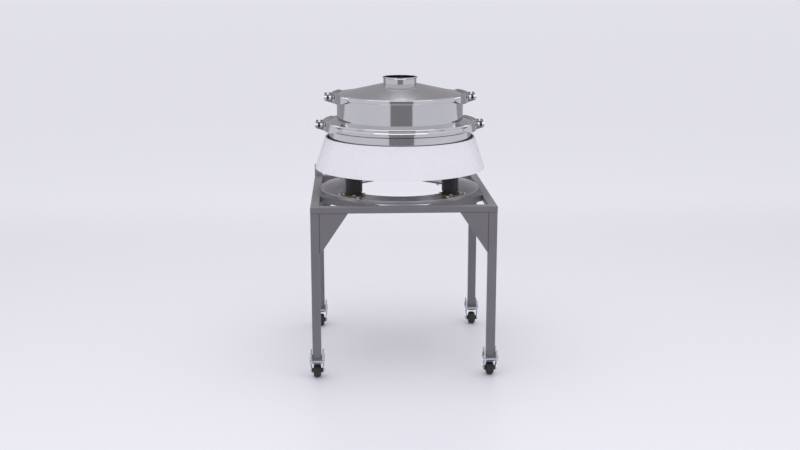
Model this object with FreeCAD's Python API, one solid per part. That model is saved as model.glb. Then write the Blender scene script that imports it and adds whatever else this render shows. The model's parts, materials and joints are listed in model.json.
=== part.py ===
"""Round vibrating sieve on a wheeled square frame, in millimetres, +Z up.

The origin is on the floor under the centre of the frame. The front of the machine faces -Y.
Each sub-part is written to parts/NODE.step. A fixed frame carries four rubber isolators; the
isolators carry the vibrating assembly: drive plate, two vibrating motors, base housing with its
discharge cone, mesh ring, feed deck, lid, and the two band clamps that hold them together.
"""
import FreeCAD, Part
import math
import os

Vector = FreeCAD.Vector
X_AXIS = Vector(1, 0, 0)
Y_AXIS = Vector(0, 1, 0)
Z_AXIS = Vector(0, 0, 1)

# ---- fits and clearances -------------------------------------------------------------------
running_fit = 0.06          # radial, pins and shafts that turn
free_gap = 0.3              # between pieces that move past each other
hole_clearance = 0.5        # radial, bolt holes
band_clearance = 0.5        # radial, clamp band over its flanges

# ---- frame ---------------------------------------------------------------------------------
frame_margin = 83.0         # base housing to the outside of the square frame
frame_top = 817.0
rail_width = 40.0
rail_height = 30.0
leg_side = 40.0
tube_wall = 2.5
tube_corner = 4.0           # outside corner radius of the square tubes
gusset_width = 130.0
gusset_drop = 184.0
gusset_sheet = 5.0
bend_inside = 1.0           # inside radius of the fold
gusset_return = 28.0        # folded edge that lies along the leg
gusset_tip = 6.0
brace_width = 40.0
brace_lap = 3.0             # outer edge of a brace beyond the edge of the base ring

# ---- casters -------------------------------------------------------------------------------
caster_height = 86.5        # floor to the underside of the caster plate
caster_plate = 70.0
caster_plate_thickness = 6.5
caster_bolt_pitch = 56.0
foot_plate = 66.0
foot_plate_thickness = 5.5
foot_plate_fillet = 10.0
raceway_radius = 26.0
raceway_height = 6.0
kingpin_radius = 6.0
kingpin_head_radius = 9.0
kingpin_head_height = 3.0
crown_radius = 30.0
crown_thickness = 3.5
raceway_bevel = 3.0
fork_shoulder = 31.0        # half width of the fork at its widest
fork_foot = 27.5            # half width of the fork at the axle
fork_shoulder_drop = 14.0   # crown to the widest part of the fork
fork_sheet = 3.0
fork_arm_width = 26.0
fork_eye_radius = 10.0
caster_trail = 14.0
wheel_radius = 32.0
wheel_width = 34.0
wheel_crown = 7.0           # rounding of the tread's shoulders
tread_edge = 2.0            # radius lost at the tread's shoulder
tread_edge_width = 5.0
tread_flat_inset = 12.0     # side of the wheel to the full tread
dish_depth = 4.0            # hollow in each side, and the rim left round it
hub_radius = 11.0
hub_side_gap = 0.5          # hub end to fork leg
axle_radius = 4.0

# ---- fasteners: across flats, head height, shank radius ------------------------------------
m8_across = 13.0
m8_head = 5.3
m8_radius = 4.0
m8_nut = 6.8
m10_across = 17.0
m10_head = 6.4
m10_radius = 5.0
m10_nut = 8.4
bolt_stick_out = 3.0
caster_bolt_stick_out = 24.0
tap_cover = 1.0             # left under a tapped bolt's end

# ---- base ring and isolators ---------------------------------------------------------------
ring_reach = 52.2           # isolators' circle to the edge of the ring's hole
ring_height = 16.0
ring_web = 5.0              # thickness left over the groove on the underside
ring_groove = 20.0          # half width of the groove, about the isolators' circle
ring_bevel = 1.0
ring_bolt_inset = 27.0      # edge of the ring to its bolts
ring_bolt_angle = 9.5       # degrees to each side of a brace's middle
isolator_inset = 23.8       # outside of the base housing to the isolators' circle
isolator_flange_radius = 51.0
isolator_flange_thickness = 5.0
isolator_bolt_circle = 45.5
sleeve_radius = 39.0
sleeve_neck_radius = 36.0
sleeve_neck_height = 12.0
sleeve_shoulder = 2.0       # half the height of the slope between neck and body
sleeve_height = 87.0
flute_count = 16
flute_radius = 4.0
flute_depth = 2.2

# ---- vibrating assembly --------------------------------------------------------------------
drive_plate_thickness = 10.0
drive_plate_bore_gap = 8.0  # around the outlet ferrule
cable_hole_radius = 9.0
housing_height = 190.0      # drive plate to the underside of the lower clamp band
housing_step = 39.4         # wider than the feed deck, on the radius
housing_wall = 3.0
bead_drop = 14.0            # lower band to the bead round the housing
housing_bead = 2.0
cone_rim_drop = 33.0        # lower band to the rim of the discharge cone
cone_angle = 25.0           # degrees below level
cone_sheet = 3.3
outlet_radius = 101.6
outlet_wall = 2.0
outlet_drop = 40.0          # underside of the drive plate to the end of the spout
outlet_flange = 7.2         # ferrule's rim beyond the spout
ferrule_edge = 3.5          # flat part of a ferrule's rim
ferrule_bevel = 5.0         # sloping part of a ferrule's rim

lower_flange_width = 19.0   # beyond the housing
upper_flange_width = 15.4   # beyond the feed deck
band_lip = 3.5
band_wall = 4.5
band_depth = 18.0           # from the outside of the band to the edge of its lips
band_edge = 1.5
band_split = 6.0            # gap between the two halves of a band
lower_band_groove = 2.5     # depth of the hollow round the lower band
groove_slope = 1.4          # run of the hollow's sides for each millimetre of depth
lip_gap = 2.0               # band's lip to what stands beside it
flange_thickness = 4.0
mesh_ring_thickness = 6.0
mesh_gasket = 2.0
lid_gasket = 3.0
mesh_thickness = 1.0
mesh_lap = 3.0              # mesh held in the step of its ring
deck_radius = 302.6
deck_wall = 2.6
deck_height = 110.0         # between the two clamp bands
deck_cone_rise = 13.0

# ---- clamp lugs and swing bolts ------------------------------------------------------------
lug_reach = 39.0            # out from the band
lug_root = 3.0              # into the band's wall
lug_gap = 8.0               # band joint to either lug
lug_face = 24.0             # band joint to the face of a front lug
seat_offset = 30.0          # band joint to the face under the swing bolt's washer
front_lug_rise = 10.0       # above the swing bolt
rear_lug_rise = 20.0
lug_root_drop = 27.0        # below the swing bolt, at the band
lug_tip_drop = 15.5         # below the swing bolt, at the outer end
lug_chamfer = 4.0
strap_sheet = 3.0
strap_half = 22.0           # half height of the strap, about the swing bolt
strap_taper_angle = 25.0    # degrees from the band's joint to where the strap starts to taper
strap_angle = 39.0          # degrees from the band's joint to the strap's tip
strap_tip_half = 3.0
strap_bite = 1.0            # into the band's wall
ear_width = 5.0
ear_radius = 9.0
bolt_out = 22.0             # band to the swing bolt's middle
bolt_drop = 6.0             # swing bolt below the band's middle
eye_radius = 8.5
eye_width = 11.0
eye_side_gap = 0.5
eye_end_gap = 1.5
pin_head_radius = 6.5
pin_head_height = 4.0
washer_radius = 8.0
washer_thickness = 1.6
wing_hub_radius = 7.0
wing_hub_height = 9.0
wing_span = 19.0            # from the middle to a wing's tip
wing_rise = 16.0
wing_root = 4.0             # wing's inner end from the middle
wing_root_gap = 2.0         # washer to the wing's inner end
wing_slope = 4.0            # the wing's underside climbs this much more towards the tip
wing_tip_width = 3.0
wing_tip_length = 5.0
wing_waist = 9.0            # tip to where the wing is thinnest
wing_thickness = 4.0
swing_bolt_stick_out = 5.0

# ---- lid -----------------------------------------------------------------------------------
lid_step_rise = 4.0
lid_step_run = 2.0
lid_rise = 50.0
lid_sheet = 3.0
neck_radius = 79.0
neck_wall = 3.0
neck_height = 31.0
neck_flange = 4.5           # ferrule's rim beyond the neck
neck_root = 6.0             # length of the neck below the lid's skin

# ---- skirt ---------------------------------------------------------------------------------
skirt_gap = 18.0            # base housing to the skirt's upper edge
skirt_flare = 50.0          # the lower edge is this much wider, on the radius
skirt_height = 150.0
skirt_sheet = 2.1
skirt_hem = 6.0
skirt_flange_thickness = 3.0
skirt_flange_gap = 24.0     # base housing to the flange that carries the skirt
skirt_flange_lap = 12.0     # flange on the drive plate

# ---- vibrating motors ----------------------------------------------------------------------
motor_inset = 80.0          # outside of the base housing to the motor's shaft, along X
motor_height = 58.0         # shaft above the drive plate
motor_radius = 48.0
motor_wall = 4.0
motor_body_length = 92.0
fin_count = 7
fin_height = 3.0
fin_thickness = 4.0
stator_inner = 24.0
stator_length = 52.0
air_gap = 0.7
rotor_end_gap = 1.0         # rotor core shorter than the stator at each end
bearing_outer = 21.0
bearing_width = 13.0
shaft_radius = 10.0
cover_radius = 50.0
cover_wall = 2.5
cover_length = 40.0
cover_corner = 6.0
weight_radius = 40.0
weight_thickness = 20.0
weight_gap = 6.0            # motor body to the eccentric weight
shaft_end = 4.0             # shaft beyond the weight
weight_hub = 6.0            # collar round the shaft
fin_bite = 1.0              # fins, foot and terminal box into the motor's body
foot_length = 88.0          # along the motor's shaft
foot_width = 104.0
foot_thickness = 10.0
foot_pedestal = 34.0
foot_bolt_x = 43.0
foot_bolt_y = 32.0
terminal_depth = 22.0
terminal_width = 44.0
terminal_height = 30.0

# ---- junction box --------------------------------------------------------------------------
box_width = 40.0
box_depth = 34.0
box_height = 56.0
box_wall = 3.0
box_cover = 4.0
gland_radius = 8.0
gland_height = 10.0
gland_shoulder = 1.5        # hexagon beyond the round top
gland_bore = 4.0

# ---- heights and places worked out from the sizes above --------------------------------------
housing_radius = deck_radius + housing_step
upper_flange = deck_radius + upper_flange_width
lower_flange = housing_radius + lower_flange_width
upper_band_radius = upper_flange + band_clearance + band_wall
lower_band_radius = lower_flange + band_clearance + band_wall
deck_inner = deck_radius - deck_wall
skirt_top_radius = housing_radius + skirt_gap
skirt_bottom_radius = skirt_top_radius + skirt_flare
skirt_flange_inner = housing_radius + skirt_flange_gap
drive_plate_outer = skirt_flange_inner + skirt_flange_lap
outlet_flange_radius = outlet_radius + outlet_flange
motor_offset = housing_radius - motor_inset
isolator_circle = housing_radius - isolator_inset
isolator_offset = isolator_circle / math.sqrt(2)
rail_bottom = frame_top - rail_height
half_frame = housing_radius + frame_margin
leg_centre = half_frame - leg_side / 2
frame_inner = half_frame - rail_width
ring_outer = frame_inner
ring_inner = isolator_circle - ring_reach
ring_bolt_circle = ring_outer - ring_bolt_inset
brace_outer = ring_outer + brace_lap
foot_bottom = caster_height + caster_plate_thickness
leg_bottom = foot_bottom + foot_plate_thickness
ring_top = frame_top + ring_height
sleeve_bottom = ring_top + isolator_flange_thickness
sleeve_top = sleeve_bottom + sleeve_height
plate_bottom = sleeve_top + isolator_flange_thickness
plate_top = plate_bottom + drive_plate_thickness
motor_z = plate_top + motor_height
outlet_z = plate_bottom - outlet_drop
lower_band_z = plate_top + housing_height
cone_rim_z = lower_band_z - cone_rim_drop
bead_z = lower_band_z - bead_drop
pivot_offset = lug_face + eye_radius + eye_end_gap
housing_top = lower_band_z + band_lip + flange_thickness
mesh_ring_z = housing_top + mesh_gasket
deck_z = mesh_ring_z + mesh_ring_thickness + mesh_gasket
lower_band_top = deck_z + flange_thickness + band_lip
upper_band_z = lower_band_top + deck_height
deck_top = upper_band_z + band_lip + flange_thickness
lid_z = deck_top + lid_gasket
lid_rim_top = lid_z + flange_thickness
upper_band_top = lid_rim_top + band_lip
lid_step_z = lid_rim_top + lid_step_rise
lid_top = lid_step_z + lid_rise
corner_signs = [(-1, -1), (1, -1), (-1, 1), (1, 1)]
corner_names = ["front_left", "front_right", "rear_left", "rear_right"]


# ---- helpers -------------------------------------------------------------------------------
def box(x0, x1, y0, y1, z0, z1):
    return Part.makeBox(x1 - x0, y1 - y0, z1 - z0, Vector(x0, y0, z0))


def rod(radius, start, end, axis=Z_AXIS):
    """Round bar along an axis through start; end is the coordinate where it stops."""
    length = end - start.dot(axis)
    return Part.makeCylinder(radius, length, start, axis)


def ring(outer, inner, z0, z1):
    blank = rod(outer, Vector(0, 0, z0), z1)
    return blank.cut(rod(inner, Vector(0, 0, z0), z1))


def revolve(points):
    """Solid whose (radius, height) outline turns once about Z."""
    corners = [Vector(r, 0, z) for r, z in points]
    face = Part.Face(Part.makePolygon(corners + corners[:1]))
    return face.revolve(Vector(0, 0, 0), Z_AXIS, 360)


def prism_z(points, z0, z1):
    corners = [Vector(x, y, z0) for x, y in points]
    face = Part.Face(Part.makePolygon(corners + corners[:1]))
    return face.extrude(Vector(0, 0, z1 - z0))


def prism_y(points, y0, y1):
    corners = [Vector(x, y0, z) for x, z in points]
    face = Part.Face(Part.makePolygon(corners + corners[:1]))
    return face.extrude(Vector(0, y1 - y0, 0))


def prism_x(points, x0, x1):
    corners = [Vector(x0, y, z) for y, z in points]
    face = Part.Face(Part.makePolygon(corners + corners[:1]))
    return face.extrude(Vector(x1 - x0, 0, 0))


def moved(shape, x, y, z):
    copy = shape.copy()
    copy.translate(Vector(x, y, z))
    return copy


def turned(shape, degrees):
    copy = shape.copy()
    copy.rotate(Vector(0, 0, 0), Z_AXIS, degrees)
    return copy


def quarter_turns(shape):
    return [turned(shape, 90 * i) for i in range(4)]


def mirrored_x(shape):
    return shape.mirror(Vector(0, 0, 0), X_AXIS)


def mirrored_y(shape):
    return shape.mirror(Vector(0, 0, 0), Y_AXIS)


def fused(shapes):
    return shapes[0].fuse(shapes[1:]).removeSplitter()


def hexagon(across, z0, z1):
    radius = across / math.sqrt(3)
    angles = [math.radians(60 * i) for i in range(6)]
    return prism_z([(radius * math.cos(a), radius * math.sin(a)) for a in angles], z0, z1)


def bolt_down(across, head, radius, seat, end):
    """Hex bolt whose head stands on the height seat and whose shank goes down to end."""
    return fused([hexagon(across, seat, seat + head), rod(radius, Vector(0, 0, end), seat)])


def bolt_up(across, head, radius, seat, end):
    """Hex bolt whose head hangs under the height seat and whose shank goes up to end."""
    return fused([hexagon(across, seat - head, seat), rod(radius, Vector(0, 0, seat), end)])


def nut(across, height, radius, seat):
    """Hex nut standing on the height seat; its bore is the thread's outside."""
    return hexagon(across, seat, seat + height).cut(rod(radius, Vector(0, 0, seat), seat + height))


def rounded_along(shape, axis, radius):
    """The four longest edges that run along an axis, rounded."""
    edges = [e for e in shape.Edges if abs(e.tangentAt(e.FirstParameter).dot(axis)) > 0.999]
    return shape.makeFillet(radius, edges)


def save(node, shapes):
    solids = [s for shape in shapes for s in shape.Solids]
    Part.makeCompound(solids).exportStep("parts/" + node + ".step")


# ---- frame ---------------------------------------------------------------------------------
def top_rail():
    """Front rail: rectangular tube, both ends mitred at 45 degrees."""
    def trapezium(inset):
        far = half_frame - inset
        near = half_frame - rail_width + inset
        return [(-far, -far), (far, -far), (near, -near), (-near, -near)]
    outside = rounded_along(prism_z(trapezium(0), rail_bottom, frame_top), X_AXIS, tube_corner)
    inside = prism_z(trapezium(tube_wall), rail_bottom + tube_wall, frame_top - tube_wall)
    return outside.cut(inside)


def leg():
    """Square tube from the foot plate up to the rails, at the corner (+X, +Y)."""
    inner = half_frame - leg_side
    outside = box(inner, half_frame, inner, half_frame, leg_bottom, rail_bottom)
    outside = rounded_along(outside, Z_AXIS, tube_corner)
    low = inner + tube_wall
    high = half_frame - tube_wall
    return outside.cut(box(low, high, low, high, leg_bottom, rail_bottom))


def gusset():
    """Folded triangular plate in the front-right corner, its return edge along the leg."""
    inner = half_frame - leg_side
    front = -half_frame
    low = rail_bottom - gusset_drop
    outline = [(inner, rail_bottom), (inner - gusset_width, rail_bottom),
               (inner - gusset_tip, low), (inner, low)]
    blank = prism_y(outline, front, front + gusset_return)
    upright = [e for e in blank.Edges if abs(e.tangentAt(0).dot(Z_AXIS)) > 0.999]
    bend = [e for e in upright if e.CenterOfMass.y < front + free_gap and e.CenterOfMass.x > inner - free_gap]
    folded = blank.makeFillet(gusset_sheet + bend_inside, bend)
    inside = [(x - gusset_sheet, z) for x, z in outline[:2]]
    inside += [(x - gusset_sheet, low - gusset_sheet) for x in (inner - gusset_tip - gusset_sheet, inner)]
    return folded.cut(prism_y(inside, front + gusset_sheet, front + gusset_return))


def brace():
    """Diagonal rectangular tube between the right and the rear rail."""
    def quad(inset):
        outer = (brace_outer - inset) * math.sqrt(2) - frame_inner
        inner = (brace_outer - brace_width + inset) * math.sqrt(2) - frame_inner
        return [(frame_inner, inner), (frame_inner, outer), (outer, frame_inner), (inner, frame_inner)]
    tube = prism_z(quad(0), rail_bottom, frame_top)
    tube = tube.cut(prism_z(quad(tube_wall), rail_bottom + tube_wall, frame_top - tube_wall))
    holes = [moved(ring_bolt_hole(), x, y, 0) for x, y in brace_bolt_places()]
    return tube.cut(Part.makeCompound(holes))


def ring_bolt_hole():
    """Vertical hole through the ring and a brace."""
    return rod(m8_radius + hole_clearance, Vector(0, 0, rail_bottom), ring_top)


def brace_bolt_places():
    angles = [math.radians(45 + sign * ring_bolt_angle) for sign in (-1, 1)]
    return [(ring_bolt_circle * math.cos(a), ring_bolt_circle * math.sin(a)) for a in angles]


def ring_bolt():
    """Bolt and nut that hold the base ring on a brace."""
    end = rail_bottom - m8_nut - bolt_stick_out
    return [bolt_down(m8_across, m8_head, m8_radius, ring_top, end),
            nut(m8_across, m8_nut, m8_radius, rail_bottom - m8_nut)]


def isolator_bolt_places():
    """The four bolts round an isolator, from its own axis."""
    spots = [(isolator_bolt_circle, 0), (0, isolator_bolt_circle)]
    return spots + [(-x, -y) for x, y in spots]


def base_ring():
    """Ring on the frame, hollowed underneath, with holes over the braces and tapped holes for the isolators."""
    groove_inner = isolator_circle - ring_groove
    groove_outer = isolator_circle + ring_groove
    web = ring_top - ring_web
    blank = revolve([
        (ring_inner, frame_top), (groove_inner, frame_top), (groove_inner, web), (groove_outer, web),
        (groove_outer, frame_top), (ring_outer, frame_top), (ring_outer, ring_top - ring_bevel),
        (ring_outer - ring_bevel, ring_top), (ring_inner + ring_bevel, ring_top),
        (ring_inner, ring_top - ring_bevel),
    ])
    holes = []
    for x, y in brace_bolt_places():
        holes += quarter_turns(moved(ring_bolt_hole(), x, y, 0))
    tapped = rod(m8_radius, Vector(0, 0, frame_top), ring_top)
    holes += at_corners([moved(tapped, x, y, 0) for x, y in isolator_bolt_places()], isolator_offset)
    return blank.cut(Part.makeCompound(holes))


def foot_plate_solid():
    """Plate welded under a leg, drilled for the caster."""
    half = foot_plate / 2
    plate = box(-half, half, -half, half, foot_bottom, leg_bottom)
    plate = rounded_along(plate, Z_AXIS, foot_plate_fillet)
    return plate.cut(caster_holes())


def caster_holes():
    """The four holes that a caster plate and a foot plate share."""
    hole = rod(m8_radius + hole_clearance, Vector(0, 0, caster_height), leg_bottom)
    return Part.makeCompound([moved(hole, x, y, 0) for x, y in caster_bolt_places()])


def caster_bolt_places():
    half = caster_bolt_pitch / 2
    return [(sx * half, sy * half) for sx, sy in corner_signs]


# ---- casters -------------------------------------------------------------------------------
def caster_top_plate():
    """Fixed half of a caster: bolted plate, raceway and kingpin."""
    half = caster_plate / 2
    plate = box(-half, half, -half, half, caster_height, foot_bottom)
    plate = rounded_along(plate, Z_AXIS, foot_plate_fillet)
    plate = plate.cut(caster_holes())
    race_bottom = caster_height - raceway_height
    crown_bottom = race_bottom - free_gap - crown_thickness
    pin_top = crown_bottom - free_gap
    race = revolve([(0, race_bottom), (raceway_radius - raceway_bevel, race_bottom),
                    (raceway_radius, caster_height), (0, caster_height)])
    pin = rod(kingpin_radius, Vector(0, 0, pin_top), race_bottom)
    head = rod(kingpin_head_radius, Vector(0, 0, pin_top - kingpin_head_height), pin_top)
    return fused([plate, race, pin, head])


def caster_fork():
    """Swivel crown and two splayed arms, pressed from one sheet; the axle trails the kingpin."""
    top = caster_height - raceway_height - free_gap
    bottom = top - crown_thickness
    crown = rod(crown_radius, Vector(0, 0, bottom), top)
    shoulder_z = bottom - fork_shoulder_drop
    foot_z = wheel_radius - fork_eye_radius
    bend_z = wheel_radius + fork_eye_radius
    narrow = math.sqrt(crown_radius ** 2 - (fork_arm_width / 2) ** 2)
    outside = [(narrow, top), (fork_shoulder, shoulder_z), (fork_foot, bend_z), (fork_foot, foot_z),
               (fork_foot - fork_sheet, foot_z), (fork_foot - fork_sheet, bend_z),
               (fork_shoulder - fork_sheet, shoulder_z), (narrow - fork_sheet, bottom), (0, bottom), (0, top)]
    half_width = fork_arm_width / 2
    side = [(-half_width, top), (half_width, top), (caster_trail + fork_eye_radius, wheel_radius),
            (caster_trail + fork_eye_radius, foot_z), (caster_trail - fork_eye_radius, foot_z),
            (caster_trail - fork_eye_radius, wheel_radius)]
    arm = prism_y(outside, -crown_radius, crown_radius).common(prism_x(side, 0, fork_shoulder))
    sheet = fused([crown, arm, mirrored_x(arm)])
    pin_hole = rod(kingpin_radius + running_fit, Vector(0, 0, bottom), top)
    axle_hole = rod(axle_radius, Vector(-fork_shoulder, caster_trail, wheel_radius), fork_shoulder, X_AXIS)
    return sheet.cut(fused([pin_hole, axle_hole]))


def caster_axle():
    """Axle bolt with its head on one fork arm and its nut on the other."""
    face = fork_foot
    shank = rod(axle_radius, Vector(-face, caster_trail, wheel_radius), face + m8_nut, X_AXIS)
    head = hexagon(m8_across, 0, m8_head)
    head.rotate(Vector(0, 0, 0), Y_AXIS, -90)
    collar = hexagon(m8_across, 0, m8_nut)
    collar.rotate(Vector(0, 0, 0), Y_AXIS, 90)
    collar = moved(collar, face, caster_trail, wheel_radius)
    return [fused([shank, moved(head, -face, caster_trail, wheel_radius)]), collar.cut(shank)]


def caster_wheel():
    """Moulded rubber wheel: crowned tread, dished sides, hub as wide as the fork allows."""
    half = wheel_width / 2
    hub_half = fork_foot - fork_sheet - hub_side_gap
    rim = wheel_radius - wheel_crown
    dish = dish_depth - half
    outline = [
        (axle_radius + running_fit, -hub_half), (hub_radius, -hub_half), (hub_radius, dish),
        (rim - dish_depth, dish), (rim, -half), (wheel_radius - tread_edge, tread_edge_width - half),
        (wheel_radius, tread_flat_inset - half),
    ]
    wheel = revolve(outline + [(r, -z) for r, z in reversed(outline)])
    wheel.rotate(Vector(0, 0, 0), Y_AXIS, 90)
    return moved(wheel, 0, caster_trail, wheel_radius)


def caster_bolt():
    """Bolt through the caster plate and the foot plate, with its nut and long thread."""
    end = leg_bottom + m8_nut + caster_bolt_stick_out
    return [bolt_up(m8_across, m8_head, m8_radius, caster_height, end),
            nut(m8_across, m8_nut, m8_radius, leg_bottom)]


# ---- isolators -----------------------------------------------------------------------------
def isolator_flange(z0):
    plate = rod(isolator_flange_radius, Vector(0, 0, z0), z0 + isolator_flange_thickness)
    hole = rod(m8_radius + hole_clearance, Vector(0, 0, z0), z0 + isolator_flange_thickness)
    return plate.cut(Part.makeCompound([moved(hole, x, y, 0) for x, y in isolator_bolt_places()]))


def isolator_sleeve():
    """Rubber column with a narrow neck at each end and upright flutes round its body."""
    low = sleeve_bottom + sleeve_neck_height
    high = sleeve_top - sleeve_neck_height
    body = revolve([
        (0, sleeve_bottom), (sleeve_neck_radius, sleeve_bottom), (sleeve_neck_radius, low - sleeve_shoulder),
        (sleeve_radius, low + sleeve_shoulder), (sleeve_radius, high - sleeve_shoulder),
        (sleeve_neck_radius, high + sleeve_shoulder), (sleeve_neck_radius, sleeve_top), (0, sleeve_top),
    ])
    centre = sleeve_radius + flute_radius - flute_depth
    flute = rod(flute_radius, Vector(centre, 0, sleeve_bottom), sleeve_top)
    flutes = Part.makeCompound([turned(flute, 360 / flute_count * i) for i in range(flute_count)])
    return body.cut(flutes)


def isolator_foot_bolt():
    """Bolt that holds an isolator's lower flange in the base ring's tapped hole."""
    return bolt_down(m8_across, m8_head, m8_radius, sleeve_bottom, frame_top + tap_cover)


def isolator_head_bolt():
    """Bolt through the drive plate into an isolator's upper flange."""
    return bolt_down(m8_across, m8_head, m8_radius, plate_top, sleeve_top)


# ---- vibrating motors ----------------------------------------------------------------------
def along_y(shape):
    """Turns a shape made about Z so that it lies about Y, at the motor's shaft."""
    copy = shape.copy()
    copy.rotate(Vector(0, 0, 0), X_AXIS, 90)
    return moved(copy, motor_offset, 0, motor_z)


def motor_housing():
    """Finned body on a pedestal foot, with a bearing seat in each end wall."""
    half = motor_body_length / 2
    cavity = stator_length / 2
    bore = motor_radius - motor_wall
    shell = revolve([
        (bearing_outer, -half), (motor_radius, -half), (motor_radius, half), (bearing_outer, half),
        (bearing_outer, cavity), (bore, cavity), (bore, -cavity), (bearing_outer, -cavity),
    ])
    pitch = stator_length / fin_count
    fin = ring(motor_radius + fin_height, motor_radius - fin_bite, 0, fin_thickness)
    first = (pitch - fin_thickness) / 2 - cavity
    fins = [moved(fin, 0, 0, first + pitch * i) for i in range(fin_count)]
    body = along_y(fused([shell] + fins))
    core = along_y(rod(motor_radius - fin_bite, Vector(0, 0, -half), half))
    foot = box(motor_offset - foot_width / 2, motor_offset + foot_width / 2,
               -foot_length / 2, foot_length / 2, plate_top, plate_top + foot_thickness)
    pedestal = box(motor_offset - foot_pedestal, motor_offset + foot_pedestal, -cavity, cavity,
                   plate_top, motor_z - motor_radius / 2).cut(core)
    side = motor_offset - motor_radius
    terminal = box(side - terminal_depth, motor_offset, -terminal_width / 2, terminal_width / 2,
                   motor_z - terminal_height / 2, motor_z + terminal_height / 2).cut(core)
    hole = rod(m10_radius + hole_clearance, Vector(0, 0, plate_top), plate_top + foot_thickness)
    holes = [moved(hole, x, y, 0) for x, y in foot_bolt_places()]
    return fused([body, foot, pedestal, terminal]).cut(Part.makeCompound(holes))


def foot_bolt_places():
    """The four bolts of the right-hand motor's foot."""
    return [(motor_offset + sx * foot_bolt_x, sy * foot_bolt_y) for sx, sy in corner_signs]


def foot_bolt():
    seat = plate_top + foot_thickness
    nut_seat = plate_bottom - m10_nut
    return [bolt_down(m10_across, m10_head, m10_radius, seat, nut_seat - bolt_stick_out),
            nut(m10_across, m10_nut, m10_radius, nut_seat)]


def motor_stator():
    half = stator_length / 2
    return along_y(ring(motor_radius - motor_wall, stator_inner, -half, half))


def motor_bearings():
    """The two roller bearings, as closed rings in their seats."""
    outer = motor_body_length / 2
    upper = ring(bearing_outer, shaft_radius + running_fit, outer - bearing_width, outer)
    return [along_y(upper), along_y(moved(upper, 0, 0, bearing_width - 2 * outer))]


def motor_covers():
    """Pressed cups over the eccentric weights."""
    start = motor_body_length / 2
    end = start + cover_length
    inside = cover_radius - cover_wall
    cup = revolve([
        (inside, start), (cover_radius, start), (cover_radius, end - cover_corner),
        (cover_radius - cover_corner, end), (0, end), (0, end - cover_wall),
        (inside - cover_corner, end - cover_wall), (inside, end - cover_wall - cover_corner),
    ])
    return [along_y(cup), mirrored_y(along_y(cup))]


def motor_rotor():
    """Shaft and rotor core with an eccentric weight at each end, hanging down."""
    start = motor_body_length / 2 + weight_gap
    end = start + weight_thickness
    shaft = rod(shaft_radius, Vector(0, 0, -end - shaft_end), end + shaft_end)
    core_half = stator_length / 2 - rotor_end_gap
    core = rod(stator_inner - air_gap, Vector(0, 0, -core_half), core_half)
    shoulder = shaft_radius + weight_hub
    sector = rod(weight_radius, Vector(0, 0, start), end)
    sector = sector.cut(box(-weight_radius, weight_radius, 0, weight_radius, start, end))
    weight = sector.fuse(rod(shoulder, Vector(0, 0, start), end))
    return along_y(fused([shaft, core, weight, moved(weight, 0, 0, -start - end)]))


# ---- vibrating assembly --------------------------------------------------------------------
def drive_plate():
    plate = ring(drive_plate_outer, outlet_flange_radius + drive_plate_bore_gap, plate_bottom, plate_top)
    holes = []
    for sx, sy in corner_signs:
        for x, y in isolator_bolt_places():
            holes.append((m8_radius, sx * isolator_offset + x, sy * isolator_offset + y))
    for x, y in foot_bolt_places():
        holes.append((m10_radius, x, y))
        holes.append((m10_radius, -x, -y))
    cable_x = motor_offset - foot_width / 2 - 2 * cable_hole_radius
    for sign in (-1, 1):
        holes.append((cable_hole_radius, sign * cable_x, 0))
    cutters = [rod(r + hole_clearance, Vector(x, y, plate_bottom), plate_top) for r, x, y in holes]
    return plate.cut(Part.makeCompound(cutters))


def base_housing():
    """Cylinder on the drive plate with a bead round it and the lower clamp flange on top."""
    inner = housing_radius - housing_wall
    return revolve([
        (inner, plate_top), (housing_radius, plate_top), (housing_radius, bead_z - housing_bead),
        (housing_radius + housing_bead, bead_z), (housing_radius, bead_z + housing_bead),
        (housing_radius, housing_top - flange_thickness), (lower_flange, housing_top - flange_thickness),
        (lower_flange, housing_top), (inner, housing_top),
    ])


def discharge_cone():
    """Cone welded round the inside of the housing, ending in the outlet spout and its ferrule."""
    rim = housing_radius - housing_wall
    slope = math.tan(math.radians(cone_angle))
    bore = outlet_radius - outlet_wall
    edge = outlet_z + ferrule_edge
    return revolve([
        (rim, cone_rim_z + cone_sheet), (bore, cone_rim_z + cone_sheet - (rim - bore) * slope),
        (bore, outlet_z), (outlet_flange_radius, outlet_z), (outlet_flange_radius, edge),
        (outlet_radius, edge + ferrule_bevel), (outlet_radius, cone_rim_z - (rim - outlet_radius) * slope),
        (rim, cone_rim_z),
    ])


def mesh_ring():
    """Flat ring that the screen is bonded to; the mesh lies in a step at its middle."""
    top = mesh_ring_z + mesh_ring_thickness
    step = deck_inner + mesh_lap
    low = mesh_z()
    high = low + mesh_thickness
    return revolve([
        (deck_inner, mesh_ring_z), (lower_flange, mesh_ring_z), (lower_flange, top), (deck_inner, top),
        (deck_inner, high), (step, high), (step, low), (deck_inner, low),
    ])


def mesh_z():
    return mesh_ring_z + (mesh_ring_thickness - mesh_thickness) / 2


def screen_mesh():
    return rod(deck_inner + mesh_lap, Vector(0, 0, mesh_z()), mesh_z() + mesh_thickness)


def gaskets():
    """Flat rubber rings under and over the mesh ring and under the lid."""
    under = ring(lower_flange, housing_radius - housing_wall, housing_top, mesh_ring_z)
    over = ring(lower_flange, deck_shoulder(), mesh_ring_z + mesh_ring_thickness, deck_z)
    return [under, over, ring(upper_flange, deck_inner, deck_top, lid_z)]


def deck_shoulder():
    """Radius where the deck's cone meets its lower flange, clear of the band's lip."""
    return lower_band_radius - band_depth - lip_gap


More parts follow.
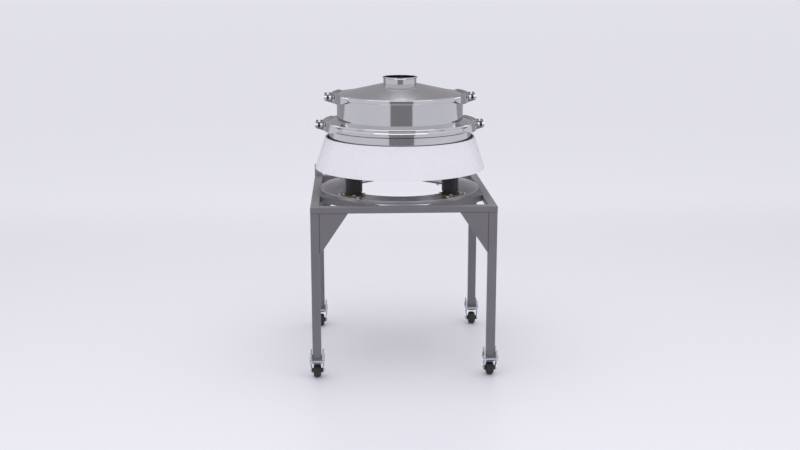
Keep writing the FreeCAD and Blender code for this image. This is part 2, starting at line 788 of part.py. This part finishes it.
def feed_deck():
    """Cylinder between the two clamps, opening out over a short cone to the lower flange."""
    shoulder = deck_shoulder()
    rim_top = deck_z + flange_thickness
    cone_top = rim_top + deck_cone_rise
    upper = deck_top - flange_thickness
    return revolve([
        (lower_flange, deck_z), (lower_flange, rim_top), (shoulder, rim_top), (deck_radius, cone_top),
        (deck_radius, upper), (upper_flange, upper), (upper_flange, deck_top), (deck_inner, deck_top),
        (deck_inner, cone_top - flange_thickness), (shoulder - deck_wall, deck_z),
    ])


# ---- band clamps ---------------------------------------------------------------------------
def band_section(radius, z0, z1, groove):
    """Channel that wraps two flanges; groove is the depth of the hollow round its outside."""
    lips = radius - band_depth
    wall = radius - band_wall
    middle = (z0 + z1) / 2
    wide = groove * (1 + groove_slope)
    points = [(lips, z0), (radius - band_edge, z0), (radius, z0 + band_edge)]
    if groove > 0:
        points += [(radius, middle - wide), (radius - groove, middle - groove),
                   (radius - groove, middle + groove), (radius, middle + wide)]
    points += [(radius, z1 - band_edge), (radius - band_edge, z1), (lips, z1), (lips, z1 - band_lip),
               (wall, z1 - band_lip), (wall, z0 + band_lip), (lips, z0 + band_lip)]
    return revolve(points)


def lug_block(radius, bolt_z, rise, near, far):
    """Block between two distances from the band's joint, with a slot for the swing bolt open at the top."""
    root = radius - lug_root
    tip = radius + lug_reach
    low = bolt_z - lug_tip_drop
    high = bolt_z + rise
    outline = [(root, bolt_z - lug_root_drop), (tip - lug_chamfer, low), (tip, low + lug_chamfer),
               (tip, high - lug_chamfer), (tip - lug_chamfer, high), (root, high)]
    bolt_x = radius + bolt_out
    half_slot = m8_radius + hole_clearance
    slot = box(bolt_x - half_slot, bolt_x + half_slot, near, far, bolt_z, high)
    slot_end = rod(half_slot, Vector(bolt_x, near, bolt_z), far, Y_AXIS)
    return prism_y(outline, near, far).cut(slot).cut(slot_end)


def hinge_lug(radius, bolt_z):
    """Front lug; two ears in front of it carry the pin."""
    inner = eye_width / 2 + eye_side_gap
    block = lug_block(radius, bolt_z, front_lug_rise, -lug_face, -lug_gap)
    ears = []
    for start in (radius + bolt_out - inner - ear_width, radius + bolt_out + inner):
        end = start + ear_width
        ears.append(rod(ear_radius, Vector(start, -pivot_offset, bolt_z), end, X_AXIS))
        ears.append(box(start, end, -pivot_offset, -lug_face, bolt_z - ear_radius, bolt_z + ear_radius))
    hole = rod(m8_radius, Vector(radius, -pivot_offset, bolt_z), radius + lug_reach, X_AXIS)
    return fused([block] + ears).cut(hole)


def slot_lug(radius, bolt_z):
    """Rear lug, on the side of +Y; the top of its back is rounded about the swing bolt's pivot."""
    root = radius - lug_root
    tip = radius + lug_reach
    block = lug_block(radius, bolt_z, rear_lug_rise, lug_gap, seat_offset)
    above = box(root, tip, lug_gap, seat_offset, bolt_z, bolt_z + rear_lug_rise)
    reach = seat_offset + pivot_offset - free_gap
    return block.cut(above.cut(rod(reach, Vector(root, -pivot_offset, bolt_z), tip, X_AXIS)))


def lug_strap(radius, bolt_z):
    """Curved strap that spreads the lug's pull along the band and tapers to a point, on the side of -Y."""
    full = radius * math.cos(math.radians(strap_taper_angle))
    tip = radius * math.cos(math.radians(strap_angle))
    outer = radius + strap_sheet
    low = bolt_z - strap_half
    high = bolt_z + strap_half
    outline = [(tip, bolt_z - strap_tip_half), (full, low), (outer, low), (outer, high), (full, high),
               (tip, bolt_z + strap_tip_half)]
    return ring(outer, radius - strap_bite, low, high).common(prism_y(outline, -outer, -band_split / 2))


def clamp_half(radius, z0, z1, groove, rear):
    """Half of a band with the lugs and straps at both of its ends; the rear half is made as a front one."""
    bolt_z = (z0 + z1) / 2 - bolt_drop
    half = band_section(radius, z0, z1, groove)
    half = half.common(box(-radius, radius, -radius, -band_split / 2, z0, z1))
    lug = mirrored_y(slot_lug(radius, bolt_z)) if rear else hinge_lug(radius, bolt_z)
    whole = fused([half] + both_sides([lug_strap(radius, bolt_z), lug]))
    return mirrored_y(whole) if rear else whole


def pivot_pin(radius, bolt_z):
    """Bolt through the ears of a front lug, its head towards the band, and the nut on it."""
    half = eye_width / 2 + eye_side_gap + ear_width
    inner = radius + bolt_out - half
    outer = radius + bolt_out + half
    place = (-pivot_offset, bolt_z)
    head = rod(pin_head_radius, Vector(inner - pin_head_height, *place), inner, X_AXIS)
    shank = rod(m8_radius, Vector(inner, *place), outer + m8_nut + bolt_stick_out, X_AXIS)
    collar = hexagon(m8_across, 0, m8_nut)
    collar.rotate(Vector(0, 0, 0), Y_AXIS, 90)
    return [fused([head, shank]), moved(collar, outer, *place).cut(shank)]


def swing_bolt(radius, bolt_z):
    """Eye bolt on the pivot pin, lying back through the slots of both lugs."""
    x = radius + bolt_out
    half = eye_width / 2
    end = seat_offset + washer_thickness + wing_hub_height + swing_bolt_stick_out
    eye = rod(eye_radius, Vector(x - half, -pivot_offset, bolt_z), x + half, X_AXIS)
    shank = rod(m8_radius, Vector(x, -pivot_offset, bolt_z), end, Y_AXIS)
    bore = rod(m8_radius + running_fit, Vector(x - half, -pivot_offset, bolt_z), x + half, X_AXIS)
    return fused([eye, shank]).cut(bore)


def wing_nut(radius, bolt_z):
    """Wing nut, its wings level, and the washer under it."""
    x = radius + bolt_out
    start = seat_offset + washer_thickness
    end = start + wing_hub_height
    top = start + wing_rise
    washer = rod(washer_radius, Vector(x, seat_offset, bolt_z), start, Y_AXIS)
    hub = rod(wing_hub_radius, Vector(x, start, bolt_z), end, Y_AXIS)
    wing = [(wing_root, start + wing_root_gap),
            (wing_span - wing_waist, start + wing_root_gap + wing_slope),
            (wing_span, top - wing_tip_length), (wing_span - wing_tip_width, top),
            (wing_span - wing_waist, top - wing_tip_width), (wing_root, end)]
    blade = prism_z(wing, bolt_z - wing_thickness / 2, bolt_z + wing_thickness / 2)
    wings = [moved(half, x, 0, 0) for half in both_sides([blade])]
    bore = rod(m8_radius, Vector(x, seat_offset, bolt_z), end, Y_AXIS)
    return [washer.cut(bore), fused([hub] + wings).cut(bore)]


# ---- lid and skirt -------------------------------------------------------------------------
def lid():
    """Flat rim, short step and shallow cone up to the inlet's neck."""
    outer_step = deck_inner + lid_step_run
    inner_step = deck_inner - lid_step_run
    return revolve([
        (upper_flange, lid_z), (upper_flange, lid_rim_top), (outer_step, lid_rim_top),
        (deck_inner, lid_step_z), (neck_radius, lid_top), (neck_radius, lid_top - lid_sheet), (inner_step, lid_step_z - lid_sheet),
        (inner_step - lid_step_run, lid_z),
    ])


def inlet_ferrule():
    """Open tube through the top of the lid with a clamp ferrule's rim."""
    top = lid_top + neck_height
    root = lid_top - neck_root
    bore = neck_radius - neck_wall
    edge = top - ferrule_edge
    flange = neck_radius + neck_flange
    return revolve([
        (bore, root), (neck_radius, root), (neck_radius, edge - ferrule_bevel), (flange, edge), (flange, top),
        (bore, top),
    ])


def skirt_radius(z):
    share = (z - plate_bottom) / skirt_height
    return skirt_bottom_radius + (skirt_top_radius - skirt_bottom_radius) * share


def skirt():
    """Conical guard round the drive, with a hem turned in at its top and bottom."""
    top = plate_bottom + skirt_height
    low = plate_bottom + skirt_sheet
    high = top - skirt_sheet
    return revolve([
        (skirt_bottom_radius, plate_bottom), (skirt_top_radius, top), (skirt_top_radius - skirt_hem, top),
        (skirt_top_radius - skirt_hem, high), (skirt_radius(high) - skirt_sheet, high),
        (skirt_radius(low) - skirt_sheet, low), (skirt_bottom_radius - skirt_hem, low),
        (skirt_bottom_radius - skirt_hem, plate_bottom),
    ])


def skirt_flange():
    """Ring on the edge of the drive plate that carries the skirt."""
    top = plate_top + skirt_flange_thickness
    return revolve([
        (skirt_flange_inner, plate_top), (skirt_radius(plate_top) - skirt_sheet, plate_top),
        (skirt_radius(top) - skirt_sheet, top), (skirt_flange_inner, top),
    ])


# ---- junction box --------------------------------------------------------------------------
def junction_box():
    """Box on the rear-left corner of the frame, open at the back."""
    x0 = -half_frame
    y1 = half_frame - box_cover
    outside = box(x0, x0 + box_width, y1 - box_depth, y1, frame_top, frame_top + box_height)
    inside = box(x0 + box_wall, x0 + box_width - box_wall, y1 - box_depth + box_wall, y1,
                 frame_top + box_wall, frame_top + box_height - box_wall)
    top = frame_top + box_height
    hole = rod(gland_bore, Vector(x0 + box_width / 2, y1 - box_depth / 2, top - box_wall), top)
    return outside.cut(inside).cut(hole)


def junction_box_cover():
    x0 = -half_frame
    return box(x0, x0 + box_width, half_frame - box_cover, half_frame, frame_top, frame_top + box_height)


def cable_gland():
    """Gland nut on top of the box, with the hole for the supply cable."""
    x = -half_frame + box_width / 2
    y = half_frame - box_cover - box_depth / 2
    low = frame_top + box_height
    body = fused([hexagon(2 * gland_radius, low, low + gland_height / 2),
                  rod(gland_radius - gland_shoulder, Vector(0, 0, low), low + gland_height)])
    return moved(body.cut(rod(gland_bore, Vector(0, 0, low), low + gland_height)), x, y, 0)


# ---- writing the nodes -----------------------------------------------------------------------
def at_corners(shapes, offset):
    return [moved(s, sx * offset, sy * offset, 0) for s in shapes for sx, sy in corner_signs]


def both_sides(shapes):
    return shapes + [mirrored_x(s) for s in shapes]


def save_frame():
    save("top_rails", quarter_turns(top_rail()))
    save("legs", quarter_turns(leg()))
    front = both_sides([gusset()])
    save("corner_gussets", front + [mirrored_y(s) for s in front])
    save("corner_braces", quarter_turns(brace()))
    save("base_ring", [base_ring()])
    bolts = [moved(s, x, y, 0) for s in ring_bolt() for x, y in brace_bolt_places()]
    save("base_ring_bolts", [turned(s, 90 * i) for s in bolts for i in range(4)])
    save("isolator_lower_flanges", at_corners([isolator_flange(ring_top)], isolator_offset))
    foot_bolts = [moved(isolator_foot_bolt(), x, y, 0) for x, y in isolator_bolt_places()]
    save("isolator_foot_bolts", at_corners(foot_bolts, isolator_offset))
    save("leg_foot_plates", at_corners([foot_plate_solid()], leg_centre))
    save("caster_top_plates", at_corners([caster_top_plate()], leg_centre))
    plate_bolts = [moved(s, x, y, 0) for s in caster_bolt() for x, y in caster_bolt_places()]
    save("caster_plate_bolts", at_corners(plate_bolts, leg_centre))
    save("junction_box", [junction_box()])
    save("junction_box_cover", [junction_box_cover()])
    save("cable_gland", [cable_gland()])


def save_casters():
    """Each caster trails towards the middle of the machine, so none reaches past its plate."""
    for name, (sx, sy) in zip(corner_names, corner_signs):
        x = sx * leg_centre
        y = sy * leg_centre
        turn = 180 if sy > 0 else 0
        save(name + "_caster_fork", [moved(turned(caster_fork(), turn), x, y, 0)])
        save(name + "_caster_axle", [moved(turned(s, turn), x, y, 0) for s in caster_axle()])
        save(name + "_caster_wheel", [moved(turned(caster_wheel(), turn), x, y, 0)])


def save_drive():
    save("isolator_sleeves", at_corners([isolator_sleeve()], isolator_offset))
    save("isolator_upper_flanges", at_corners([isolator_flange(sleeve_top)], isolator_offset))
    head_bolts = [moved(isolator_head_bolt(), x, y, 0) for x, y in isolator_bolt_places()]
    save("isolator_head_bolts", at_corners(head_bolts, isolator_offset))
    save("drive_plate", [drive_plate()])
    save("motor_housings", both_sides([motor_housing()]))
    save("motor_stators", both_sides([motor_stator()]))
    save("motor_bearings", both_sides(motor_bearings()))
    save("motor_end_covers", both_sides(motor_covers()))
    foot_bolts = [moved(s, x, y, 0) for s in foot_bolt() for x, y in foot_bolt_places()]
    save("motor_foot_bolts", both_sides(foot_bolts))
    rotor = motor_rotor()
    save("right_motor_rotor", [rotor])
    save("left_motor_rotor", [mirrored_x(rotor)])


def save_sieve():
    save("base_housing", [base_housing()])
    save("discharge_cone", [discharge_cone()])
    save("mesh_ring", [mesh_ring()])
    save("screen_mesh", [screen_mesh()])
    save("gaskets", gaskets())
    save("feed_deck", [feed_deck()])
    save("lid", [lid()])
    save("inlet_ferrule", [inlet_ferrule()])
    save("skirt", [skirt()])
    save("skirt_flange", [skirt_flange()])


def save_clamps():
    bands = [("lower", lower_band_radius, lower_band_z, lower_band_top, lower_band_groove),
             ("upper", upper_band_radius, upper_band_z, upper_band_top, 0)]
    pins = []
    for level, radius, z0, z1, groove in bands:
        bolt_z = (z0 + z1) / 2 - bolt_drop
        save(level + "_clamp_front", [clamp_half(radius, z0, z1, groove, False)])
        save(level + "_clamp_rear", [clamp_half(radius, z0, z1, groove, True)])
        pins += both_sides(pivot_pin(radius, bolt_z))
        bolt = swing_bolt(radius, bolt_z)
        nuts = wing_nut(radius, bolt_z)
        save(level + "_right_swing_bolt", [bolt])
        save(level + "_left_swing_bolt", [mirrored_x(bolt)])
        save(level + "_right_wing_nut", nuts)
        save(level + "_left_wing_nut", [mirrored_x(s) for s in nuts])
    save("clamp_pivot_pins", pins)


os.makedirs("parts", exist_ok=True)
save_frame()
save_casters()
save_drive()
save_sieve()
save_clamps()
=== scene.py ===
# %% [markdown]
# # A round vibrating sieve
#
# The machine is a lidded stainless sieve on a square, wheeled frame. Its construction comes in as
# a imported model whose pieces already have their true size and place. This lesson gives the pieces
# their finish and sets them in a plain studio.

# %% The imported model
import json
import math
import bmesh
import bpy
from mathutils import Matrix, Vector

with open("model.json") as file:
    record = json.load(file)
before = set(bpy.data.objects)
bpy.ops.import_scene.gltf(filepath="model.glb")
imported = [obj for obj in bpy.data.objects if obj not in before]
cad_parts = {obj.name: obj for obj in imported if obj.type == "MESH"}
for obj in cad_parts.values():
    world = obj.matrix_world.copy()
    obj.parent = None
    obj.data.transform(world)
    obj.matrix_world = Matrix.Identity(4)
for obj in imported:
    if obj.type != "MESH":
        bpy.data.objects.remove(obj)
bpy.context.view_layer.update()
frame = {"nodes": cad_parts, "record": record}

print("pieces in the packed model:", len(frame["nodes"]))

# %% [markdown]
# ## Camera
#
# A 50 mm lens on a 36 mm sensor, a little above the lid and a few degrees left of the machine's
# front, looking down on it. A long lens would flatten the round decks, a short one would bend them.

# %% Camera
CAMERA_PLACE = (-0.2508, -5.3309, 1.8487)
CAMERA_DOWN = 12.80       # degrees below level
CAMERA_RIGHT = 2.70       # degrees turned towards +X
camera_data = bpy.data.cameras.new("studio_camera")
camera_data.lens = 50
camera_data.sensor_width = 36
camera_data.clip_end = 400
camera = bpy.data.objects.new("studio_camera", camera_data)
camera.location = CAMERA_PLACE
camera.rotation_euler = (math.radians(90 - CAMERA_DOWN), 0, math.radians(-CAMERA_RIGHT))
bpy.context.scene.collection.objects.link(camera)
bpy.context.scene.camera = camera
print("camera at", CAMERA_PLACE)

# %% [markdown]
# ## Helpers for materials
#
# Colours are picked as sRGB hex values, as on a paint chart, and one function turns them to the
# linear values that Blender mixes. Another adds a node, sets it up and links it in one call.

# %% Colour and node helpers
def linear(chart_colour):
    """sRGB hex string to a linear colour with full alpha."""
    parts = [int(chart_colour[i:i + 2], 16) / 255 for i in (1, 3, 5)]
    return tuple(c / 12.92 if c <= 0.04045 else ((c + 0.055) / 1.055) ** 2.4 for c in parts) + (1,)


def add(tree, kind, inputs=None, **settings):
    """Adds a node; each input is given a plain value or the socket that feeds it."""
    made = tree.nodes.new(kind)
    for name, value in settings.items():
        setattr(made, name, value)
    for name, value in (inputs or {}).items():
        if isinstance(value, bpy.types.NodeSocket):
            tree.links.new(value, made.inputs[name])
        else:
            made.inputs[name].default_value = value
    return made


def new_finish(name, **values):
    """A material with one Principled shader; returns the material, its tree and the shader."""
    material = bpy.data.materials.new(name)
    material.use_nodes = True
    tree = material.node_tree
    tree.nodes.clear()
    inputs = {key.replace("_", " "): value for key, value in values.items()}
    shader = add(tree, "ShaderNodeBsdfPrincipled", inputs)
    add(tree, "ShaderNodeOutputMaterial", {"Surface": shader.outputs["BSDF"]})
    return material, tree, shader


def grain(tree, size, detail=3.0, stretch=(1, 1, 1)):
    """Noise whose lumps are about size metres across, in the piece's own coordinates."""
    place = add(tree, "ShaderNodeTexCoord")
    fitted = add(tree, "ShaderNodeMapping", {"Vector": place.outputs["Object"], "Scale": stretch})
    noise = add(tree, "ShaderNodeTexNoise",
                {"Vector": fitted.outputs["Vector"], "Scale": 1 / size, "Detail": detail})
    return noise.outputs["Fac"]


def spread(tree, socket, low, high):
    """Turns a 0 to 1 pattern into values from low to high, its middle stretched."""
    return add(tree, "ShaderNodeMapRange", {"Value": socket, "From Min": 0.3, "From Max": 0.7,
                                            "To Min": low, "To Max": high}).outputs["Result"]


def two_tones(tree, socket, first, second):
    """Colour between two chart colours, following a pattern."""
    mix = add(tree, "ShaderNodeMix", {"Factor": socket}, data_type="RGBA")
    mix.inputs["A"].default_value = linear(first)
    mix.inputs["B"].default_value = linear(second)
    return mix.outputs["Result"]


def relief(tree, shader, socket, depth, strength=1.0):
    """Bump from a pattern; depth is the pattern's height in metres."""
    bump = add(tree, "ShaderNodeBump", {"Height": socket, "Distance": depth, "Strength": strength})
    tree.links.new(bump.outputs["Normal"], shader.inputs["Normal"])


def round_the_axis(tree, across, along):
    """Noise drawn out round the machine's axis, as a polishing wheel or a lathe leaves it."""
    place = add(tree, "ShaderNodeTexCoord")
    axes = add(tree, "ShaderNodeSeparateXYZ", {"Vector": place.outputs["Object"]})
    angle = add(tree, "ShaderNodeMath", {0: axes.outputs["Y"], 1: axes.outputs["X"]},
                operation="ARCTAN2")
    reach = add(tree, "ShaderNodeVectorMath", {0: place.outputs["Object"], 1: (1, 1, 0)},
                operation="MULTIPLY")
    radius = add(tree, "ShaderNodeVectorMath", {0: reach.outputs["Vector"]}, operation="LENGTH")
    turn = add(tree, "ShaderNodeMath", {0: angle.outputs["Value"], 1: across / along},
               operation="MULTIPLY")
    lines = add(tree, "ShaderNodeCombineXYZ",
                {"X": turn.outputs["Value"], "Y": radius.outputs["Value"], "Z": axes.outputs["Z"]})
    noise = add(tree, "ShaderNodeTexNoise",
                {"Vector": lines.outputs["Vector"], "Scale": 1 / across, "Detail": 2.0})
    return noise.outputs["Fac"]


# %% [markdown]
# ## Finishes
#
# Each finish starts from what the real one is and how its surface was made. The machine has a
# powder-coated frame, stainless steel in two polishes, zinc-plated fasteners, moulded rubber, and a
# white moulded skirt.

# %% Powder coat: polyester powder baked on steel tube, an even satin grey with slight orange peel
def powder_coat():
    material, tree, shader = new_finish("powder_coat_grey", Roughness=0.5)
    tone = two_tones(tree, spread(tree, grain(tree, 0.12), 0, 1), "#6E6C6F", "#747275")
    tree.links.new(tone, shader.inputs["Base Color"])
    tree.links.new(spread(tree, grain(tree, 0.03), 0.42, 0.56), shader.inputs["Roughness"])
    relief(tree, shader, grain(tree, 0.0016, detail=1.0), 0.00012, 0.35)
    return material


# %% Stainless steel in two polishes
def polished_stainless():
    """Food-grade sheet, mirror polished on a wheel: clear reflections with a faint haze of lines."""
    material, tree, shader = new_finish("stainless_mirror_polished", Metallic=1.0)
    lines = round_the_axis(tree, 0.0012, 0.06)
    tone = two_tones(tree, spread(tree, grain(tree, 0.2), 0, 1), "#CBCBCD", "#D3D3D5")
    tree.links.new(tone, shader.inputs["Base Color"])
    tree.links.new(spread(tree, lines, 0.05, 0.11), shader.inputs["Roughness"])
    relief(tree, shader, lines, 0.00002, 0.12)
    return material


def satin_stainless():
    """Turned and ground plate: the same steel, its lines deep enough to spread every reflection."""
    material, tree, shader = new_finish("stainless_satin_ground", Metallic=1.0)
    lines = round_the_axis(tree, 0.0016, 0.05)
    tone = two_tones(tree, spread(tree, grain(tree, 0.15), 0, 1), "#B9B8BA", "#C6C5C7")
    tree.links.new(tone, shader.inputs["Base Color"])
    tree.links.new(spread(tree, lines, 0.3, 0.42), shader.inputs["Roughness"])
    relief(tree, shader, lines, 0.00006, 0.3)
    return material


# %% Plated steel: fasteners, caster pressings and the isolators' flanges
def plated(name, first, second, rough, size=0.006):
    """Electroplate on steel: metallic, a little cloudy, its tone drifting over a few millimetres."""
    material, tree, shader = new_finish(name, Metallic=1.0)
    cloud = grain(tree, size)
    tone = two_tones(tree, spread(tree, cloud, 0, 1), first, second)
    tree.links.new(tone, shader.inputs["Base Color"])
    tree.links.new(spread(tree, cloud, rough - 0.06, rough + 0.08), shader.inputs["Roughness"])
    relief(tree, shader, grain(tree, 0.0008, detail=1.0), 0.00003, 0.3)
    return material


# %% Moulded rubber and plastics
def moulded(name, first, second, rough, peel=0.0012, depth=0.00008, **extra):
    """A moulding: colour through the mass, a fine texture from the mould, slightly uneven gloss."""
    material, tree, shader = new_finish(name, **extra)
    tone = two_tones(tree, spread(tree, grain(tree, 0.04), 0, 1), first, second)
    tree.links.new(tone, shader.inputs["Base Color"])
    gloss = spread(tree, grain(tree, 0.015), rough - 0.05, rough + 0.06)
    tree.links.new(gloss, shader.inputs["Roughness"])
    relief(tree, shader, grain(tree, peel, detail=1.0), depth, 0.4)
    return material


# %% Woven wire cloth, drawn at 2 mm so that the weave shows
WIRE_PITCH = 0.002


def wire_cloth():
    """Plain weave: wires over and under each other; the square holes between them are painted dark
    as painted shade.
    """
    material, tree, shader = new_finish("stainless_wire_cloth", Metallic=1.0, Roughness=0.35)
    place = add(tree, "ShaderNodeTexCoord")
    axes = add(tree, "ShaderNodeSeparateXYZ", {"Vector": place.outputs["Object"]})
    waves = []
    for axis in ("X", "Y"):
        turn = add(tree, "ShaderNodeMath", {0: axes.outputs[axis], 1: math.pi / WIRE_PITCH},
                   operation="MULTIPLY")
        wave = add(tree, "ShaderNodeMath", {0: turn.outputs["Value"]}, operation="SINE")
        ridge = add(tree, "ShaderNodeMath", {0: wave.outputs["Value"]}, operation="ABSOLUTE")
        waves.append(ridge.outputs["Value"])
    weave = add(tree, "ShaderNodeMath", {0: waves[0], 1: waves[1]}, operation="MAXIMUM")
    height = weave.outputs["Value"]
    # Painted shade: the weave's low points, its holes, take a dark colour instead of the steel's
    # own.
    painted_hole_shade = add(tree, "ShaderNodeMapRange", {"Value": height, "From Min": 0.62, "From Max": 0.8})
    tree.links.new(two_tones(tree, painted_hole_shade.outputs["Result"], "#2B2B2D", "#C4C4C6"),
                   shader.inputs["Base Color"])
    relief(tree, shader, height, 0.0006, 0.8)
    return material


# %% Every finish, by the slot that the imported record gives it
FINISHES = {
    "frame_paint": powder_coat(),
    "polished_stainless": polished_stainless(),
    "satin_stainless": satin_stainless(),
    "zinc_steel": plated("zinc_plate_bright", "#C3CAD3", "#D8DDE4", 0.26),
    "passivated_flange": plated("zinc_plate_olive", "#7B6549", "#94795A", 0.34),
    "caster_steel": plated("zinc_plate_dull", "#7D828A", "#9AA0A8", 0.36),
    "black_oxide": plated("black_oxide_oiled", "#2A2A2D", "#37373B", 0.38),
    "stator_iron": plated("bare_iron", "#4A4642", "#625D58", 0.5, 0.01),
    "isolator_rubber": moulded("isolator_rubber", "#151518", "#1E1E21", 0.42),
    "gasket_rubber": moulded("gasket_silicone", "#D8D6CF", "#E0DED8", 0.5),
    "wheel_rubber": moulded("caster_tyre_rubber", "#1F1E1C", "#2A2926", 0.55),
    "screen_wire": wire_cloth(),
    "skirt_white": moulded("skirt_white_moulding", "#E9E7EC", "#ECEAEF", 0.3,
                           peel=0.003, depth=0.00001),
    "motor_paint": moulded("motor_enamel", "#5C646B", "#66707A", 0.38),
    "box_plastic": moulded("box_moulding_grey", "#8E8E91", "#98989B", 0.5),
    "gland_plastic": moulded("gland_moulding_black", "#1A1A1C", "#232326", 0.45),
}
print("finishes:", len(FINISHES))

# %% [markdown]
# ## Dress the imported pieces
#
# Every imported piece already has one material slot, named in the record. The finish of that name
# goes into the slot, and the piece's mesh is left as it is.

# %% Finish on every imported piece
slot_of = {part["node"]: part["material_slot"] for part in frame["record"]["subparts"]}
for node, piece in frame["nodes"].items():
    piece.material_slots[0].material = FINISHES[slot_of[node]]
print("dressed:", len(slot_of))

# %% [markdown]
# ## Studio
#
# Steel shows what stands round it more than its own colour. A pale floor and a pale sky give the
# light, one large soft panel behind the machine whitens the lid, and dark cards, unseen by the
# camera, put the dark bands into the polished steel, as a product photographer would.

# %% Colour management, floor and sky
bpy.context.scene.view_settings.view_transform = "Standard"
FLOOR_RADIUS = 120.0


def floor_disc():
    mesh = bpy.data.meshes.new("studio_floor")
    work = bmesh.new()
    bmesh.ops.create_circle(work, cap_ends=True, segments=96, radius=FLOOR_RADIUS)
    work.to_mesh(mesh)
    work.free()
    floor = bpy.data.objects.new("studio_floor", mesh)
    bpy.context.scene.collection.objects.link(floor)
    material, tree, shader = new_finish("floor_sheet", Roughness=0.35)
    shader.inputs["Base Color"].default_value = linear("#E9E8ED")
    shader.inputs["Specular IOR Level"].default_value = 0.25
    mesh.materials.append(material)


def sky(colour, strength):
    world = bpy.data.worlds.new("studio_sky")
    world.use_nodes = True
    background = world.node_tree.nodes["Background"]
    background.inputs["Color"].default_value = linear(colour)
    background.inputs["Strength"].default_value = strength
    bpy.context.scene.world = world


floor_disc()
sky("#F6F6FC", 0.95)

# %% Panels and cards
def panel(name, centre, target, width, height, power):
    """A soft light panel that faces a target."""
    data = bpy.data.lights.new(name, "AREA")
    data.shape = "RECTANGLE"
    data.size = width
    data.size_y = height
    data.energy = power
    lamp = bpy.data.objects.new(name, data)
    lamp.location = centre
    lamp.rotation_euler = (Vector(target) - Vector(centre)).to_track_quat("-Z", "Y").to_euler()
    lamp.visible_camera = False
    bpy.context.scene.collection.objects.link(lamp)


def card(name, corners, colour, glow):
    """A flat card seen only in reflections."""
    mesh = bpy.data.meshes.new(name)
    mesh.from_pydata(corners, [], [tuple(range(len(corners)))])
    material = bpy.data.materials.new(name)
    material.use_nodes = True
    tree = material.node_tree
    tree.nodes.clear()
    light = add(tree, "ShaderNodeEmission", {"Color": linear(colour), "Strength": glow})
    add(tree, "ShaderNodeOutputMaterial", {"Surface": light.outputs["Emission"]})
    mesh.materials.append(material)
    flag = bpy.data.objects.new(name, mesh)
    for ray in ("camera", "diffuse", "shadow", "transmission", "volume_scatter"):
        setattr(flag, "visible_" + ray, False)
    bpy.context.scene.collection.objects.link(flag)


def standing_card(name, azimuth, half_angle, distance, low, high, colour, glow=1.0):
    """A card standing round the machine, at an azimuth counted from its front towards +X."""
    ends = [math.radians(azimuth - half_angle), math.radians(azimuth + half_angle)]
    points = [(distance * math.sin(a), -distance * math.cos(a)) for a in ends]
    corners = [points[0] + (low,), points[1] + (low,), points[1] + (high,), points[0] + (high,)]
    card(name, corners, colour, glow)


PANEL_SIDE = 4.5
panel("overhead_panel", (0, -0.5, 5.0), (0, 0, 1), PANEL_SIDE, PANEL_SIDE, 60)
standing_card("front_card", 0, 19, 4.2, 0.0, 1.1, "#8A888C")
standing_card("back_card", 180, 60, 8.0, 0.3, 4.0, "#A3A1A6")
standing_card("back_glow", 180, 50, 9.0, 3.6, 12.0, "#FFFFFF", 2.4)
print("studio ready")
